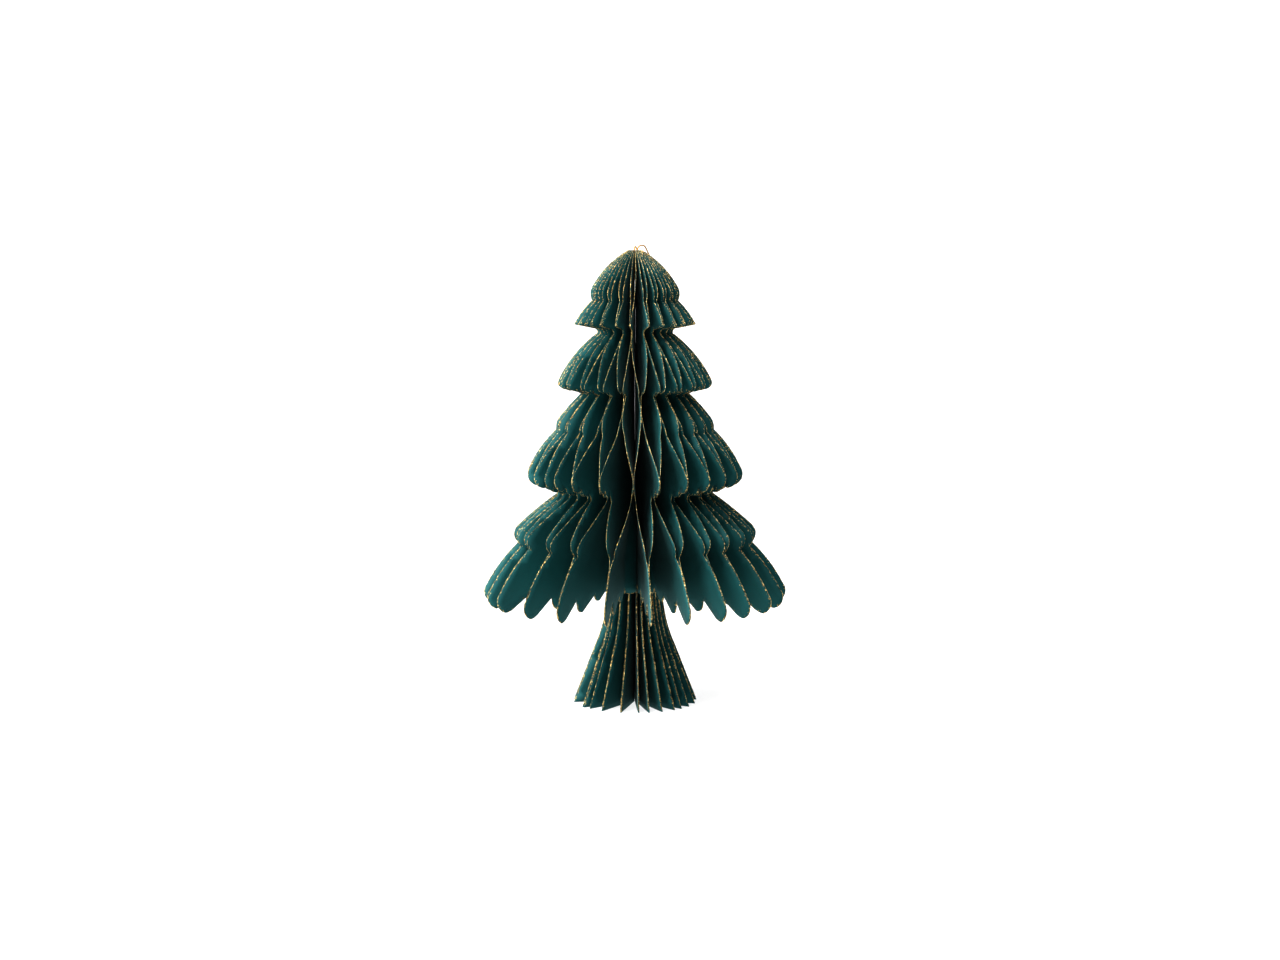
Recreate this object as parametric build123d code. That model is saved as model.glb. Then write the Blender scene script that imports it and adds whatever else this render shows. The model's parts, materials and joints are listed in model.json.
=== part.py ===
"""A standing honeycomb paper fir tree: 48 die-cut leaves that open like a fan round a hollow core.

Millimetres. +Z is up, the origin is the centre of the base, and -Y is the front.
A leaf is drawn once as a half tree in the XZ plane, X being its distance from the core's axis.
"""
from build123d import *
import math
import os

# Whole tree
HEIGHT = 300.0
CORE_RADIUS = 3.5        # the leaves' inner edges stand this far from the axis
TOP_RADIUS = 4.5         # the apex is cut square
TRUNK_FOOT_RADIUS = 41.2

# Leaves
LEAF_COUNT = 48
LEAF_PITCH = 360.0 / LEAF_COUNT
PAPER_THICKNESS = 0.3
SEAM_AZIMUTH = -50.0     # where the first and the last leaf meet; 0 is the front, 90 the right
CROWDING = 3.15          # degrees by which the hand-opened leaves stray from an even pitch
SPARSE_AZIMUTH = -38.0   # they stand widest apart here and opposite it
BACK_TURN = 3.5          # degrees by which the leaves at the back have slipped round

# Magnets that hold the seam shut, in facing pairs on the two cover leaves
MAGNET_RADIUS = 4.0
MAGNET_THICKNESS = 1.0
MAGNET_FROM_AXIS = 22.0
MAGNET_HEIGHTS = {"trunk": 28.0, "skirt": 150.0, "crown": 254.0}

# Hanging loop
ROOT_LEAF = 28           # the leaf that carries the cord
CORD_DIAMETER = 0.9
KNOT_RADIUS = 2.3
KNOT_Z = 283.0

# The die-cut edge from the apex to the trunk's foot. Each stroke starts where the last one ends:
# (end,) is a straight cut and (through, end) is an arc.
CROWN = [
    ((17.9, 289.8), (28.2, 276.0)),
    ((29.3, 271.6), (28.3, 267.3)),
    ((35.2, 259.5), (40.2, 251.7)),
    ((27.6, 249.2),),
    ((25.2, 247.9), (24.8, 245.7)),
]
SECOND_TIER = [
    ((39.7, 231.9), (50.4, 214.8)),
    ((49.9, 210.8), (46.6, 209.7)),
    ((44.2, 208.7), (41.6, 209.8)),
    ((38.6, 207.6), (35.4, 206.4)),
]
THIRD_TIER = [
    ((43.9, 197.5), (50.2, 189.7)),
    ((51.8, 186.1), (52.0, 182.2)),
    ((63.3, 169.1), (70.8, 155.9)),
    ((69.9, 149.1), (64.4, 145.9)),
    ((61.4, 147.9),),
    ((57.4, 143.0), (53.2, 143.7)),
    ((51.7, 141.7), (51.9, 139.3)),
]
SKIRT = [
    ((65.6, 128.9), (77.4, 118.6)),
    ((80.1, 113.7), (77.4, 107.3)),
    ((90.9, 91.7), (98.6, 79.1)),
    ((99.6, 70.8), (94.6, 66.7)),
    ((91.6, 67.5), (88.6, 69.2)),
    ((76.2, 78.6),),
    ((75.6, 74.6),),
    ((71.6, 70.4), (66.4, 71.8)),
    ((53.8, 79.0),),
    ((53.2, 76.8),),
    ((49.6, 74.6), (45.6, 75.8)),
    ((37.0, 81.6),),
    ((36.2, 79.6),),
    ((32.0, 77.4), (27.6, 78.4)),
    ((18.4, 83.0),),
]
TRUNK = [
    ((20.0, 59.0), (27.0, 37.0)),
    ((TRUNK_FOOT_RADIUS, 0.0),),
    ((CORE_RADIUS, 0.0),),
    ((CORE_RADIUS, HEIGHT),),
]

# The cord's route: up through the core, over the apex, down behind the tree and back
CORD_ROUTE = [
    (1.1, 0.5, 284.6), (1.3, 0.3, 293.6), (1.4, 0.1, 302.5), (6.2, 2.7, 303.7),
    (8.6, 9.5, 298.2), (12.2, 17.0, 291.0), (15.6, 23.4, 282.0), (17.1, 28.0, 272.4),
    (19.2, 31.2, 263.0), (21.1, 37.7, 254.2), (22.0, 38.6, 245.0), (21.3, 39.0, 236.2),
    (20.0, 40.4, 230.2), (13.8, 42.7, 230.0), (11.8, 42.2, 236.6), (12.5, 42.4, 245.2),
    (10.8, 41.4, 254.0), (9.0, 35.2, 262.6), (7.2, 32.2, 272.0), (6.1, 27.2, 281.6),
    (3.9, 20.5, 290.6), (1.9, 12.6, 298.2), (0.6, 6.2, 302.8), (-0.5, 1.3, 301.7),
    (-0.4, 1.1, 293.2), (-0.1, 1.3, 284.6),
]
BEND_SHARE = 0.45        # of the shorter run, taken up by each bend


def azimuth(leaf):
    """The compass angle of leaf 1 to 48 in degrees, clockwise seen from below."""
    even = SEAM_AZIMUTH + LEAF_PITCH * (leaf - 0.5)
    crowding = CROWDING * math.sin(math.radians(2 * (even - SPARSE_AZIMUTH)))
    return even + crowding + BACK_TURN * (1 - math.cos(math.radians(even))) / 2


def stand_up(shape, leaf):
    """Turns something drawn against the XZ plane to where a leaf stands."""
    return Rot(0, 0, azimuth(leaf) - 90) * shape


def die_cut_outline():
    """The half tree as a closed wire in the XZ plane."""
    at = (TOP_RADIUS, HEIGHT)
    edges = [Line((CORE_RADIUS, 0, HEIGHT), (TOP_RADIUS, 0, HEIGHT))]
    for stroke in CROWN + SECOND_TIER + THIRD_TIER + SKIRT + TRUNK:
        points = [Vector(r, 0, z) for r, z in (at, *stroke)]
        edges.append(Line(*points) if len(points) == 2 else ThreePointArc(*points))
        at = stroke[-1]
    return Wire(edges)


def paper_leaf():
    """One flat leaf, its thickness shared equally by both sides of the XZ plane."""
    return extrude(Face(die_cut_outline()), PAPER_THICKNESS / 2, dir=(0, 1, 0), both=True)


def magnet(side, height):
    """A disc on one face of a leaf: side -1 is the face towards -Y and 1 the one towards +Y."""
    from_plane = side * (PAPER_THICKNESS + MAGNET_THICKNESS) / 2
    disc = Cylinder(MAGNET_RADIUS, MAGNET_THICKNESS, rotation=(90, 0, 0))
    return Pos(MAGNET_FROM_AXIS, from_plane, height) * disc


def bend_radii(route):
    """The radius of each bend, as large as the runs on both sides of it allow."""
    radii = []
    for before, corner, after in zip(route, route[1:], route[2:]):
        run_in = Vector(*corner) - Vector(*before)
        run_out = Vector(*after) - Vector(*corner)
        half_turn = math.radians(run_in.get_angle(run_out)) / 2
        radii.append(BEND_SHARE * min(run_in.length, run_out.length) / math.tan(half_turn))
    return radii


def hanging_cord():
    """The loop as a tube of straight runs and tangent arcs."""
    radii = bend_radii(CORD_ROUTE)
    path = FilletPolyline(*CORD_ROUTE, radius=radii)
    start = Plane(origin=path @ 0, z_dir=path % 0)
    tube = sweep(start * Circle(CORD_DIAMETER / 2), path=path)
    print("cord length", round(path.length, 1), "tightest bend", round(min(radii), 2))
    print("cord volume", round(tube.volume, 2), "section times length",
          round(math.pi * CORD_DIAMETER**2 / 4 * path.length, 2))
    return tube


def cord_knot():
    """The knot in the core, glued to the inner edge of the leaf that carries it."""
    knot = Pos(CORE_RADIUS - KNOT_RADIUS, 0, KNOT_Z) * Sphere(KNOT_RADIUS)
    return stand_up(knot, ROOT_LEAF)


def build():
    """Every piece of the tree by its name."""
    flat_leaf = paper_leaf()
    pieces = {f"leaf_{leaf:02d}": stand_up(flat_leaf, leaf) for leaf in range(1, LEAF_COUNT + 1)}
    for place, height in MAGNET_HEIGHTS.items():
        pieces[f"magnet_first_{place}"] = stand_up(magnet(-1, height), 1)
        pieces[f"magnet_last_{place}"] = stand_up(magnet(1, height), LEAF_COUNT)
    pieces["hanging_cord"] = hanging_cord()
    pieces["cord_knot"] = cord_knot()
    return pieces


os.makedirs("parts", exist_ok=True)
for name, piece in build().items():
    export_step(piece, f"parts/{name}.step")
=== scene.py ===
"""How the standing honeycomb paper fir tree looks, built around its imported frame.

Metres, in the frame's own axes: +Z is up, the origin is the centre of the base and the front faces -Y.
A place on a leaf is written as its distance from the tree's axis and its height.
"""
import json
import math
import random

import bmesh
import bpy
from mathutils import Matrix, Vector
from mathutils.geometry import delaunay_2d_cdt
from mathutils.kdtree import KDTree

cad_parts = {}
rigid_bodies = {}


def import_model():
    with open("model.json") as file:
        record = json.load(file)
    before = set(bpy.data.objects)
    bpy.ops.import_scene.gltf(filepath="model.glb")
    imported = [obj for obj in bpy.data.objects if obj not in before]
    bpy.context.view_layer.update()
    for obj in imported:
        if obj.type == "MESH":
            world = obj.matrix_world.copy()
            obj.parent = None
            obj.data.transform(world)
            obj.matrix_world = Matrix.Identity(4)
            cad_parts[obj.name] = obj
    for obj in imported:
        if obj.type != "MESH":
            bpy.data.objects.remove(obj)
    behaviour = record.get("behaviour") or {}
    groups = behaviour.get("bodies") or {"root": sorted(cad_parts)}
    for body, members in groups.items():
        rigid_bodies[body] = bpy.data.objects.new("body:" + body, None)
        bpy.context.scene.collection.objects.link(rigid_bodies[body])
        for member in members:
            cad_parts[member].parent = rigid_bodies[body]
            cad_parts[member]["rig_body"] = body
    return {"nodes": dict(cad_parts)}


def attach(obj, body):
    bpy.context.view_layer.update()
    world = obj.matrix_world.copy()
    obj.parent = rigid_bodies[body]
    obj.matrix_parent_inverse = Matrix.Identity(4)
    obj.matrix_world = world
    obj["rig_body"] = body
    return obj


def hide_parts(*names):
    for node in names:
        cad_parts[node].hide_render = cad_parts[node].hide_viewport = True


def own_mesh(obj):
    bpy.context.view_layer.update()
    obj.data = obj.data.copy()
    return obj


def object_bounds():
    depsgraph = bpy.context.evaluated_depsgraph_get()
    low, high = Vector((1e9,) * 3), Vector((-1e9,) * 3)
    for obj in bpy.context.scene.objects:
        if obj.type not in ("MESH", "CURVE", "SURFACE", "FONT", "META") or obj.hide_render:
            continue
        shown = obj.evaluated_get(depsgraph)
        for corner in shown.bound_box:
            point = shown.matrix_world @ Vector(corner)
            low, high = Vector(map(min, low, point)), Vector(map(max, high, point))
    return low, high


MM = 0.001

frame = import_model()
cad_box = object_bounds()
nodes = frame["nodes"]

# Camera
CAMERA_AT = Vector((0.0, -1.49, 0.315))
CAMERA_TARGET = Vector((0.0033, 0.0, 0.1484))
CAMERA_LENS = 63.6       # on a 36 mm wide sensor

# Leaves
LEAVES = sorted(name for name in nodes if name.startswith("leaf_"))
LEAF_COUNT = len(LEAVES)
PAPER_THICKNESS = 0.3 * MM
GLUE_OFFSET = 0.26 * MM          # from the middle of a glued pair to the middle of each sheet
CORE_RADIUS = 3.5 * MM
OUTLINE_STEP = 1.2 * MM          # the longest step between two points of the outline
SHEET_STEP = 4.5 * MM             # between the points of the triangle grid inside the outline
ROW_SHARE = 0.866                # of SHEET_STEP, between two rows of that grid
RIM_SHARE = 0.45                 # of SHEET_STEP, the least distance from a grid point to the outline
PAIR_STRAY = 0.5                 # degrees by which any glued pair strays from its even place
ROUNDING = 0.3                   # 0 bends a leaf straight from one glued height to the next, 1 in an S

# The heights at which a leaf is held, from the top down, as (pairing, upper, lower). In pairing A the
# odd leaves are glued to the leaf before them, and in pairing B to the leaf after them. At the top they
# are only bound round the core.
CROWN_HOLD = ("A", 0.253, 0.243)
SECOND_HOLD = ("B", 0.201, 0.194)
THIRD_HOLD = ("A", 0.157, 0.150)
SKIRT_HOLD = ("B", 0.101, 0.062)
TRUNK_HOLD = ("A", 0.120, 0.000)
UPPER_HOLDS = [("bound", 0.300, 0.284), CROWN_HOLD, SECOND_HOLD, THIRD_HOLD]
TRUNK_REACH = (26 * MM, 36 * MM)     # from the axis: the trunk's part of a leaf turns into the skirt's

# Degrees by which single glued pairs were turned as the tree was opened by hand, by the number of the
# leaf before the pair's gap. Where two pairs behind the core (28 and 30, or 29 and 31) stand closer, they
# shut the view through it.
HAND_TURNS = {
    CROWN_HOLD: {6: -2, 28: 1.5, 30: -1},
    THIRD_HOLD: {6: 1.5, 28: 5, 30: -4},
    SKIRT_HOLD: {47: -3.5, 1: -2.5, 3: -3, 5: -1, 13: -2, 15: -1.5, 17: -2, 29: 4, 31: -4},
    TRUNK_HOLD: {46: 9, 2: 3, 4: 4.5, 6: 5.5, 10: -2, 12: -2.5, 14: -7.5, 16: -9.5, 18: -9, 20: -6, 22: -3},
}

# Glitter
GRAIN_STEP = 0.6 * MM            # between two rings of the glitter bead
GRAIN_RADIUS = (0.04 * MM, 0.42 * MM)
GRAIN_SIDES = 5
GRAIN_RARITY = 1.5               # the higher, the fewer of the rings are thick
GLITTER_PATCH = 6 * MM           # sets how long the stretches with much and with little glitter are
BEAD_FLAKE = 0.45 * MM
SPECK_FLAKE = 0.35 * MM          # a flake on the face of the paper
SPECK_CELL = 0.5 * MM
SPECK_REACH = (-0.05 * MM, 1.5 * MM)    # how far from the cut edge a speck may lie, by its luck
SPECK_RARITY = 14.0

# Cord: the route of its centre line, the same as in the part's source
CORD_DIAMETER = 0.0009
CORD_ROUTE = [
    (0.0011, 0.0005, 0.2846), (0.0013, 0.0003, 0.2936), (0.0014, 0.0001, 0.3025),
    (0.0062, 0.0027, 0.3037), (0.0086, 0.0095, 0.2982), (0.0122, 0.0170, 0.2910),
    (0.0156, 0.0234, 0.2820), (0.0171, 0.0280, 0.2724), (0.0192, 0.0312, 0.2630),
    (0.0211, 0.0377, 0.2542), (0.0220, 0.0386, 0.2450), (0.0213, 0.0390, 0.2362),
    (0.0200, 0.0404, 0.2302), (0.0138, 0.0427, 0.2300), (0.0118, 0.0422, 0.2366),
    (0.0125, 0.0424, 0.2452), (0.0108, 0.0414, 0.2540), (0.0090, 0.0352, 0.2626),
    (0.0072, 0.0322, 0.2720), (0.0061, 0.0272, 0.2816), (0.0039, 0.0205, 0.2906),
    (0.0019, 0.0126, 0.2982), (0.0006, 0.0062, 0.3028), (-0.0005, 0.0013, 0.3017),
    (-0.0004, 0.0011, 0.2932), (-0.0001, 0.0013, 0.2846),
]


# Studio. A softbox is (name, compass angle, height angle, watts), with the angles in degrees as seen from
# the middle of the tree.
SOFTBOX_SIZE = 0.8
SOFTBOX_DISTANCE = 1.8           # from the middle of the tree
SOFTBOXES = [
    ("softbox_left_low", -75, 8, 46),
    ("softbox_left_high", -100, 42, 16),
    ("softbox_front_left", -50, 42, 27),
    ("softbox_front", 0, 42, 7),
    ("softbox_top", 0, 88, 18),
]
WORLD_STRENGTH = 0.02
FLOOR_GAP = 0.3 * MM             # below the tree's foot
FLOOR_REACH = 30
CARD_REACH = 4                   # to each side
CARD_BEHIND = 2.4                # from the tree's axis
CARD_HEIGHT = 3


# ---------------------------------------------------------------- scene helpers

def link(obj):
    bpy.context.scene.collection.objects.link(obj)
    return obj


def make_mesh_object(name, points, faces, material, smooth=False):
    mesh = bpy.data.meshes.new(name)
    mesh.from_pydata(points, [], faces)
    mesh.materials.append(material)
    mesh.polygons.foreach_set("use_smooth", [smooth] * len(mesh.polygons))
    mesh.update()
    return link(bpy.data.objects.new(name, mesh))


def body_of_node(node):
    return nodes[node]["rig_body"]


def make_camera():
    camera = link(bpy.data.objects.new("camera", bpy.data.cameras.new("camera")))
    camera.data.lens = CAMERA_LENS
    camera.data.sensor_width = 36
    camera.location = CAMERA_AT
    camera.rotation_euler = (CAMERA_TARGET - CAMERA_AT).to_track_quat("-Z", "Y").to_euler()
    bpy.context.scene.camera = camera


# ---------------------------------------------------------------- materials

def new_material(name):
    material = bpy.data.materials.new(name)
    material.use_nodes = True
    return material, material.node_tree, material.node_tree.nodes["Principled BSDF"]


def add_node(tree, kind, inputs=None, **settings):
    """A new shader node with its settings, and with inputs as values or as sockets to link."""
    node = tree.nodes.new(kind)
    for key, value in settings.items():
        setattr(node, key, value)
    for key, value in (inputs or {}).items():
        if isinstance(value, bpy.types.NodeSocket):
            tree.links.new(value, node.inputs[key])
        else:
            node.inputs[key].default_value = value
    return node


def object_space(tree):
    return add_node(tree, "ShaderNodeTexCoord").outputs["Object"]


def noise(tree, scale, detail=2.0, roughness=0.5):
    inputs = {"Vector": object_space(tree), "Scale": scale, "Detail": detail, "Roughness": roughness}
    return add_node(tree, "ShaderNodeTexNoise", inputs).outputs["Fac"]


def ramp(tree, factor, *stops):
    """A colour ramp through (position, colour) stops."""
    node = add_node(tree, "ShaderNodeValToRGB", {"Fac": factor})
    elements = node.color_ramp.elements
    while len(elements) < len(stops):
        elements.new(0.5)
    for element, (position, colour) in zip(elements, stops):
        element.position = position
        element.color = (*colour, 1)
    return node.outputs["Color"]


def grey(level):
    return (level, level, level)


def remap(tree, value, low, high, to_low=0.0, to_high=1.0):
    inputs = {"Value": value, "From Min": low, "From Max": high, "To Min": to_low, "To Max": to_high}
    return add_node(tree, "ShaderNodeMapRange", inputs).outputs["Result"]


def calculate(tree, operation, first, second):
    return add_node(tree, "ShaderNodeMath", {0: first, 1: second}, operation=operation).outputs[0]


def glitter_shader(tree, flake_size):
    """Metal flakes lying every way: each flake of the pattern has its own tilt and its own colour from near
    black to pale cream, which is partly the glitter's mix of golds and partly painted reflections, painted
    dark for flakes turned from the light and painted glints for flakes turned towards it.
    """
    flakes = add_node(tree, "ShaderNodeTexVoronoi",
                      {"Vector": object_space(tree), "Scale": 1 / flake_size})
    clusters = noise(tree, 1 / (3.5 * flake_size), 1)
    pick = add_node(tree, "ShaderNodeSeparateColor", {"Color": flakes.outputs["Color"]})
    chance = calculate(tree, "ADD", pick.outputs["Red"], remap(tree, clusters, 0.35, 0.65, -0.35, 0.55))
    # painted reflections: dark flakes stand in for flakes turned from the light, pale cream ones are
    # painted glints, besides the glitter's own golds
    colour = ramp(tree, chance,
                  (0.25, (0.02, 0.015, 0.008)), (0.50, (0.18, 0.09, 0.02)),
                  (0.75, (0.62, 0.36, 0.09)), (0.98, (1.0, 0.80, 0.36)))
    tilt = add_node(tree, "ShaderNodeVectorMath", {0: flakes.outputs["Color"], 1: (0.5, 0.5, 0.5)},
                    operation="SUBTRACT")
    level = add_node(tree, "ShaderNodeNewGeometry").outputs["Normal"]
    tilted = add_node(tree, "ShaderNodeVectorMath",
                      {0: tilt.outputs[0], 1: (1.3, 1.3, 1.3), 2: level}, operation="MULTIPLY_ADD")
    unit = add_node(tree, "ShaderNodeVectorMath", {0: tilted.outputs[0]}, operation="NORMALIZE")
    return add_node(tree, "ShaderNodeBsdfPrincipled",
                    {"Base Color": colour, "Metallic": 0.4, "Normal": unit.outputs[0],
                     "Roughness": remap(tree, pick.outputs["Blue"], 0, 1, 0.16, 0.42)})


def paper_material():
    """Matt coloured card with faint fibres, and grains of glitter caught along its cut edge."""
    material, tree, paper = new_material("teal_paper")
    fibre = noise(tree, 900, 4, 0.65)
    cloud = noise(tree, 26, 3)
    shade = calculate(tree, "ADD", remap(tree, fibre, 0.3, 0.7, -0.16, 0.16),
                      remap(tree, cloud, 0.3, 0.7, 0.34, 0.66))
    colour = ramp(tree, shade, (0.0, (0.007, 0.055, 0.056)), (1.0, (0.013, 0.102, 0.102)))
    tree.links.new(colour, paper.inputs["Base Color"])
    tree.links.new(remap(tree, fibre, 0.3, 0.7, 0.62, 0.80), paper.inputs["Roughness"])
    bump = add_node(tree, "ShaderNodeBump", {"Height": fibre, "Distance": 0.03 * MM, "Strength": 0.5})
    tree.links.new(bump.outputs["Normal"], paper.inputs["Normal"])
    paper.inputs["Specular IOR Level"].default_value = 0.25
    paper.inputs["Sheen Weight"].default_value = 0.05

    edge = add_node(tree, "ShaderNodeAttribute", attribute_name="from_glitter").outputs["Fac"]
    scatter = add_node(tree, "ShaderNodeTexVoronoi",
                       {"Vector": object_space(tree), "Scale": 1 / SPECK_CELL})
    pick = add_node(tree, "ShaderNodeSeparateColor", {"Color": scatter.outputs["Color"]})
    luck = calculate(tree, "POWER", pick.outputs["Blue"], SPECK_RARITY)
    reach = remap(tree, luck, 0, 1, *SPECK_REACH)
    is_glitter = calculate(tree, "LESS_THAN", edge, reach)
    glitter = glitter_shader(tree, SPECK_FLAKE)
    mix = add_node(tree, "ShaderNodeMixShader",
                   {0: is_glitter, 1: paper.outputs[0], 2: glitter.outputs[0]})
    tree.links.new(mix.outputs[0], tree.nodes["Material Output"].inputs["Surface"])
    return material


def glitter_material():
    material, tree, plain_shader = new_material("gold_glitter")
    tree.nodes.remove(plain_shader)
    shader = glitter_shader(tree, BEAD_FLAKE)
    tree.links.new(shader.outputs[0], tree.nodes["Material Output"].inputs["Surface"])
    return material


def nickel_material():
    """Bright nickel plate with fine scuffs and a few dull patches."""
    material, tree, metal = new_material("nickel_plate")
    scuffs = noise(tree, 2600, 3, 0.7)
    patches = noise(tree, 320, 2)
    tree.links.new(ramp(tree, patches, (0.3, (0.50, 0.49, 0.47)), (0.7, (0.68, 0.67, 0.65))),
                   metal.inputs["Base Color"])
    tree.links.new(remap(tree, scuffs, 0.3, 0.7, 0.16, 0.34), metal.inputs["Roughness"])
    bump = add_node(tree, "ShaderNodeBump", {"Height": scuffs, "Distance": 0.01 * MM, "Strength": 0.4})
    tree.links.new(bump.outputs["Normal"], metal.inputs["Normal"])
    metal.inputs["Metallic"].default_value = 1.0
    return material


def gold_thread_material():
    """Metallised thread: flat gold film wound over a core, with tiny creases."""
    material, tree, thread = new_material("gold_thread")
    creases = noise(tree, 4200, 2, 0.6)
    tree.links.new(ramp(tree, creases, (0.3, (0.28, 0.13, 0.02)), (0.7, (0.62, 0.34, 0.06))),
                   thread.inputs["Base Color"])
    tree.links.new(remap(tree, creases, 0.3, 0.7, 0.40, 0.60), thread.inputs["Roughness"])
    bump = add_node(tree, "ShaderNodeBump", {"Height": creases, "Distance": 0.03 * MM, "Strength": 0.6})
    tree.links.new(bump.outputs["Normal"], thread.inputs["Normal"])
    thread.inputs["Metallic"].default_value = 0.3
    return material


def glowing_white_material(name, level, glow):
    """Pale studio paper that is lit from behind too, so that it stays white without a strong light."""
    material, tree, paper = new_material(name)
    tree.links.new(ramp(tree, noise(tree, 9, 3), (0.3, grey(level - 0.01)), (0.7, grey(level + 0.01))),
                   paper.inputs["Base Color"])
    paper.inputs["Roughness"].default_value = 0.9
    paper.inputs["Emission Color"].default_value = (1, 1, 1, 1)
    paper.inputs["Emission Strength"].default_value = glow
    return material


def give_material(node, material):
    """Dresses a CAD piece that stays in view."""
    nodes[node].data.materials.clear()
    nodes[node].data.materials.append(material)


# ---------------------------------------------------------------- hanging cord

def cord_centre_line():
    """The route as an open NURBS spline."""
    curve = bpy.data.curves.new("hanging_thread", "CURVE")
    curve.dimensions = "3D"
    curve.resolution_u = 12
    spline = curve.splines.new("NURBS")
    spline.points.add(len(CORD_ROUTE) - 1)
    for point, place in zip(spline.points, CORD_ROUTE):
        point.co = (*place, 1)
    spline.order_u = 3
    spline.use_endpoint_u = True
    return curve


def make_cord(material):
    curve = cord_centre_line()
    curve.bevel_depth = CORD_DIAMETER / 2
    curve.bevel_resolution = 4
    curve.use_fill_caps = True
    curve.materials.append(material)
    cord = link(bpy.data.objects.new("hanging_thread", curve))
    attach(cord, body_of_node("hanging_cord"))
    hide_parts("hanging_cord")


# ---------------------------------------------------------------- leaves

def azimuth_of(node):
    """The compass angle of a leaf in degrees, 0 at the front and 90 at the right."""
    middle = sum((v.co for v in nodes[node].data.vertices), Vector())
    return math.degrees(math.atan2(middle.x, -middle.y))


def outward(azimuth):
    """The level direction away from the tree's axis."""
    return Vector((math.sin(math.radians(azimuth)), -math.cos(math.radians(azimuth)), 0))


def along(azimuth):
    """The level direction across a leaf, towards the next one."""
    return Vector((math.cos(math.radians(azimuth)), math.sin(math.radians(azimuth)), 0))


def die_cut_outline(node):
    """A leaf's outline from the apex down as (radius, height), with no step over OUTLINE_STEP."""
    azimuth = azimuth_of(node)
    shape = bmesh.new()
    shape.from_mesh(nodes[node].data)
    bmesh.ops.remove_doubles(shape, verts=shape.verts, dist=1e-6)
    across = along(azimuth)

    # Only one of the two broad faces is kept, so that its rim is the outline.
    other_faces = [f for f in shape.faces if f.normal.dot(across) < 0.9]
    bmesh.ops.delete(shape, geom=other_faces, context="FACES")
    rim = {e for e in shape.edges if e.is_boundary}

    # The walk round the rim always starts at the apex, next to the core, and goes outwards from there.
    def radius(vert):
        return vert.co.dot(outward(azimuth))

    vert = max((v for e in rim for v in e.verts), key=lambda v: (round(v.co.z, 6), -radius(v)))
    loop = []
    while rim:
        edge = max((e for e in vert.link_edges if e in rim), key=lambda e: radius(e.other_vert(vert)))
        rim.remove(edge)
        loop.append((radius(vert), vert.co.z))
        vert = edge.other_vert(vert)
    shape.free()

    outline = []
    for (r0, z0), (r1, z1) in zip(loop, loop[1:] + loop[:1]):
        parts = math.ceil(math.hypot(r1 - r0, z1 - z0) / OUTLINE_STEP)
        outline += [(r0 + (r1 - r0) * i / parts, z0 + (z1 - z0) * i / parts) for i in range(parts)]
    return outline


def has_glitter(point):
    """True on the shaped edge, which is dipped in glitter: not at the core and not under the foot."""
    return point[0] > CORE_RADIUS + 0.2 * MM and point[1] > 0.4 * MM


def nearest_of(points):
    """A search tree that finds the nearest of the points."""
    search = KDTree(len(points))
    for i, (r, z) in enumerate(points):
        search.insert((r, z, 0), i)
    search.balance()
    return search


def cut_sheet(outline):
    """The flat leaf as (points, triangles), with a triangle grid inside the outline."""
    rim = nearest_of(outline)
    points = [Vector(p) / MM for p in outline]      # in millimetres, for the sake of the tolerance below
    rows = int(max(z for r, z in outline) / (SHEET_STEP * ROW_SHARE))
    columns = int(max(r for r, z in outline) / SHEET_STEP)
    for row in range(rows + 1):
        for column in range(columns + 1):
            r, z = (column + row % 2 / 2) * SHEET_STEP, row * SHEET_STEP * ROW_SHARE
            if rim.find((r, z, 0))[2] > RIM_SHARE * SHEET_STEP:
                points.append(Vector((r, z)) / MM)
    ring = list(range(len(outline)))
    sides = list(zip(ring, ring[1:] + ring[:1]))
    inside_only, tolerance = 1, 1e-5
    corners, _, triangles, *_ = delaunay_2d_cdt(points, sides, [ring], inside_only, tolerance)
    used = sorted({v for triangle in triangles for v in triangle})
    place = {v: i for i, v in enumerate(used)}
    return [tuple(corners[v] * MM) for v in used], [[place[v] for v in triangle] for triangle in triangles]


class Opening:
    """Where the glued and opened leaves stand, as the compass angles of their glued pairs."""

    def __init__(self):
        self.leaf_azimuths = [azimuth_of(name) for name in LEAVES]
        chance = random.Random(48)
        self.turns = {}
        for hold in UPPER_HOLDS + [SKIRT_HOLD, TRUNK_HOLD]:
            by_hand = HAND_TURNS.get(hold, {})
            self.turns[hold] = [by_hand.get(gap, 0) + chance.uniform(-PAIR_STRAY, PAIR_STRAY)
                                for gap in range(LEAF_COUNT)]

    def held(self, leaf, hold):
        """The angle at which a leaf is held, and the side of its glued pair that it takes."""
        pairing = hold[0]
        with_next = (leaf % 2 == 1) == (pairing == "B")
        gap = (leaf if with_next else leaf - 1) % LEAF_COUNT
        own = self.leaf_azimuths[leaf - 1]
        if pairing == "bound" or gap == 0:      # gap 0 is the seam, shut by magnets and not glued
            return own, 0
        other = self.leaf_azimuths[leaf if with_next else leaf - 2]
        turn = (other - own + 180) % 360 - 180
        return own + turn / 2 + self.turns[hold][gap], -1 if with_next else 1

    def wave(self, leaf, height, holds):
        """The leaf's angle and side at a height, passing in waves from hold to hold."""
        for hold, below in zip(holds, holds[1:] + [None]):
            if height >= hold[2] or not below:
                return self.held(leaf, hold)
            if height > below[1]:
                share = (hold[2] - height) / (hold[2] - below[1])
                share += ROUNDING * (ease(share) - share)
                return between(self.held(leaf, hold), self.held(leaf, below), share)

    def at(self, leaf, place):
        """The leaf's angle and side at a place on it."""
        radius, height = place
        start, end = TRUNK_REACH
        share = ease(min(1, max(0, (radius - start) / (end - start))))
        trunk = self.wave(leaf, height, UPPER_HOLDS + [TRUNK_HOLD])
        skirt = self.wave(leaf, height, UPPER_HOLDS + [SKIRT_HOLD])
        return between(trunk, skirt, share if height > SKIRT_HOLD[2] else 0)


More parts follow.
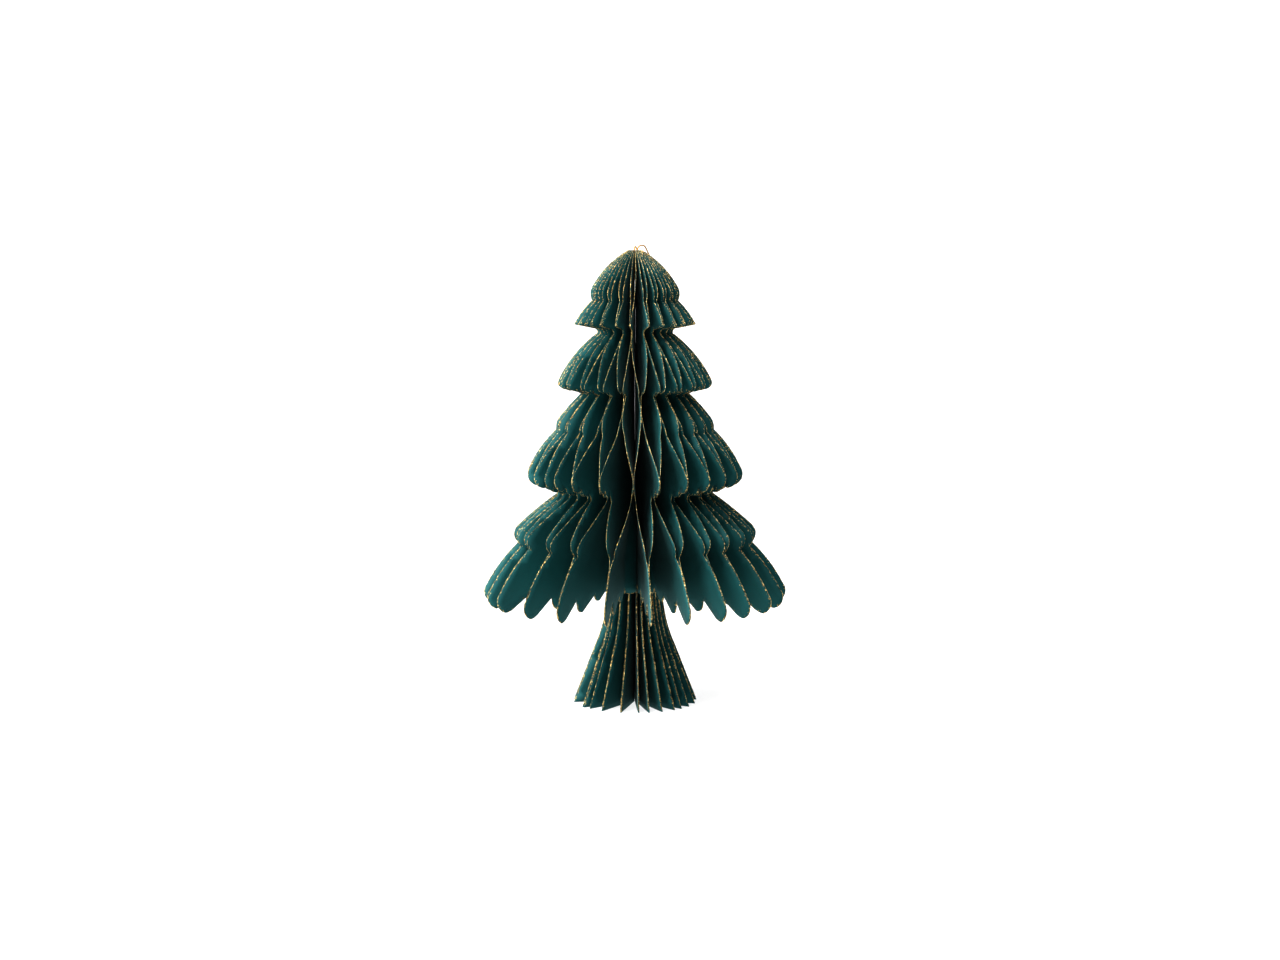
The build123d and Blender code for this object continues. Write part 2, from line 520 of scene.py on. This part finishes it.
def ease(share):
    """An S-shaped passage from 0 to 1."""
    return share * share * (3 - 2 * share)


def between(first, second, share):
    return [a + (b - a) * share for a, b in zip(first, second)]


def stand(opening, leaf, place):
    """Where a point of the flat leaf stands in the opened tree."""
    azimuth, side = opening.at(leaf, place)
    level = outward(azimuth) * place[0] + along(azimuth) * side * GLUE_OFFSET
    return Vector((level.x, level.y, place[1]))


def fold_flat(obj):
    """Gives a leaf or bead its own copy of its mesh data."""
    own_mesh(obj)


def make_leaf(leaf, opening, sheet, from_glitter, material):
    node = LEAVES[leaf - 1]
    points = [stand(opening, leaf, p) for p in sheet[0]]
    paper = make_mesh_object(f"paper_{leaf:02d}", points, sheet[1], material, smooth=True)
    distance = paper.data.attributes.new("from_glitter", "FLOAT", "POINT")
    distance.data.foreach_set("value", from_glitter)
    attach(paper, body_of_node(node))
    fold_flat(paper)
    thickness = paper.modifiers.new("thickness", "SOLIDIFY")
    thickness.thickness = PAPER_THICKNESS
    thickness.offset = 0
    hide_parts(node)


def glitter_edge(outline):
    """The stretch of the outline with glitter, as evenly spaced points."""
    start = next(i for i, p in enumerate(outline) if has_glitter(p) and not has_glitter(outline[i - 1]))
    ordered = outline[start:] + outline[:start]
    edge = [p for p in ordered if has_glitter(p)]
    even = [edge[0]]
    done = GRAIN_STEP
    for (r0, z0), (r1, z1) in zip(edge, edge[1:]):
        length = math.hypot(r1 - r0, z1 - z0)
        while done < length:
            even.append((r0 + (r1 - r0) * done / length, z0 + (z1 - z0) * done / length))
            done += GRAIN_STEP
        done -= length
    return even


def make_glitter(leaf, opening, edge, material):
    """A crumbly bead of glitter along a leaf's cut edge."""
    node = LEAVES[leaf - 1]
    chance = random.Random(1000 + leaf)
    phase = chance.uniform(0, math.tau)
    thinnest, thickest = GRAIN_RADIUS
    centre = [stand(opening, leaf, p) for p in edge]
    points, faces = [], []
    for i, place in enumerate(centre):
        ahead = centre[min(i + 1, len(centre) - 1)] - centre[max(i - 1, 0)]
        across = along(opening.at(leaf, edge[i])[0])
        first = (across - across.project(ahead)).normalized()
        second = ahead.cross(first).normalized()
        turn = chance.uniform(0, 0.9)
        plenty = 0.7 + 0.3 * math.sin(phase + i * GRAIN_STEP / GLITTER_PATCH)
        grain = plenty * chance.random() ** GRAIN_RARITY
        for side in range(GRAIN_SIDES):
            angle = turn + math.tau * side / GRAIN_SIDES
            radius = thinnest + (thickest - thinnest) * grain * chance.uniform(0.5, 1)
            points.append(place + (first * math.cos(angle) + second * math.sin(angle)) * radius)
        if i:
            last, now = (i - 1) * GRAIN_SIDES, i * GRAIN_SIDES
            for side in range(GRAIN_SIDES):
                after = (side + 1) % GRAIN_SIDES
                faces.append((last + side, last + after, now + after))
                faces.append((last + side, now + after, now + side))
    faces.append(tuple(reversed(range(GRAIN_SIDES))))
    faces.append(tuple(range(len(points) - GRAIN_SIDES, len(points))))
    bead = make_mesh_object(f"glitter_{leaf:02d}", points, faces, material)
    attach(bead, body_of_node(node))
    fold_flat(bead)


def make_leaves(paper, glitter):
    opening = Opening()
    outline = die_cut_outline(LEAVES[0])
    edge = glitter_edge(outline)
    sheet = cut_sheet(outline)
    rim = nearest_of([p for p in outline if has_glitter(p)])
    from_glitter = [rim.find((r, z, 0))[2] for r, z in sheet[0]]
    for leaf in range(1, LEAF_COUNT + 1):
        make_leaf(leaf, opening, sheet, from_glitter, paper)
        make_glitter(leaf, opening, edge, glitter)


# ---------------------------------------------------------------- studio

def make_stage():
    """A floor and an upright card behind the tree."""
    low = cad_box[0].z - FLOOR_GAP
    square = [(-1, -1), (1, -1), (1, 1), (-1, 1)]
    floor_corners = [(x * FLOOR_REACH, y * FLOOR_REACH, low) for x, y in square]
    card_corners = [(x * CARD_REACH, CARD_BEHIND, low if y < 0 else CARD_HEIGHT) for x, y in square]
    for name, corners, material in (
        ("floor", floor_corners, glowing_white_material("floor_paper", 0.35, 0.55)),
        ("backdrop", card_corners, glowing_white_material("card", 0.30, 0.85)),
    ):
        make_mesh_object(name, corners, [(0, 1, 2, 3)], material)


def make_light(name, azimuth, elevation, power):
    """A square softbox that faces the middle of the tree from a compass angle and a height angle."""
    light = link(bpy.data.objects.new(name, bpy.data.lights.new(name, "AREA")))
    light.data.size = SOFTBOX_SIZE
    light.data.energy = power
    middle = Vector((0, 0, cad_box[1].z / 2))
    level, rise = math.cos(math.radians(elevation)), math.sin(math.radians(elevation))
    light.location = middle + (outward(azimuth) * level + Vector((0, 0, rise))) * SOFTBOX_DISTANCE
    light.rotation_euler = (middle - light.location).to_track_quat("-Z", "Y").to_euler()


def make_studio():
    make_stage()
    world = bpy.data.worlds.new("studio")
    world.use_nodes = True
    background = world.node_tree.nodes["Background"]
    background.inputs["Color"].default_value = (1, 1, 1, 1)
    background.inputs["Strength"].default_value = WORLD_STRENGTH
    bpy.context.scene.world = world
    bpy.context.scene.view_settings.view_transform = "Standard"
    bpy.context.scene.view_settings.look = "High Contrast"
    for name, azimuth, elevation, power in SOFTBOXES:
        make_light(name, azimuth, elevation, power)


# ---------------------------------------------------------------- the whole scene

make_camera()
gold_thread = gold_thread_material()
make_cord(gold_thread)
make_leaves(paper_material(), glitter_material())
nickel = nickel_material()
for name in nodes:
    if name.startswith("magnet"):
        give_material(name, nickel)
give_material("cord_knot", gold_thread)
make_studio()
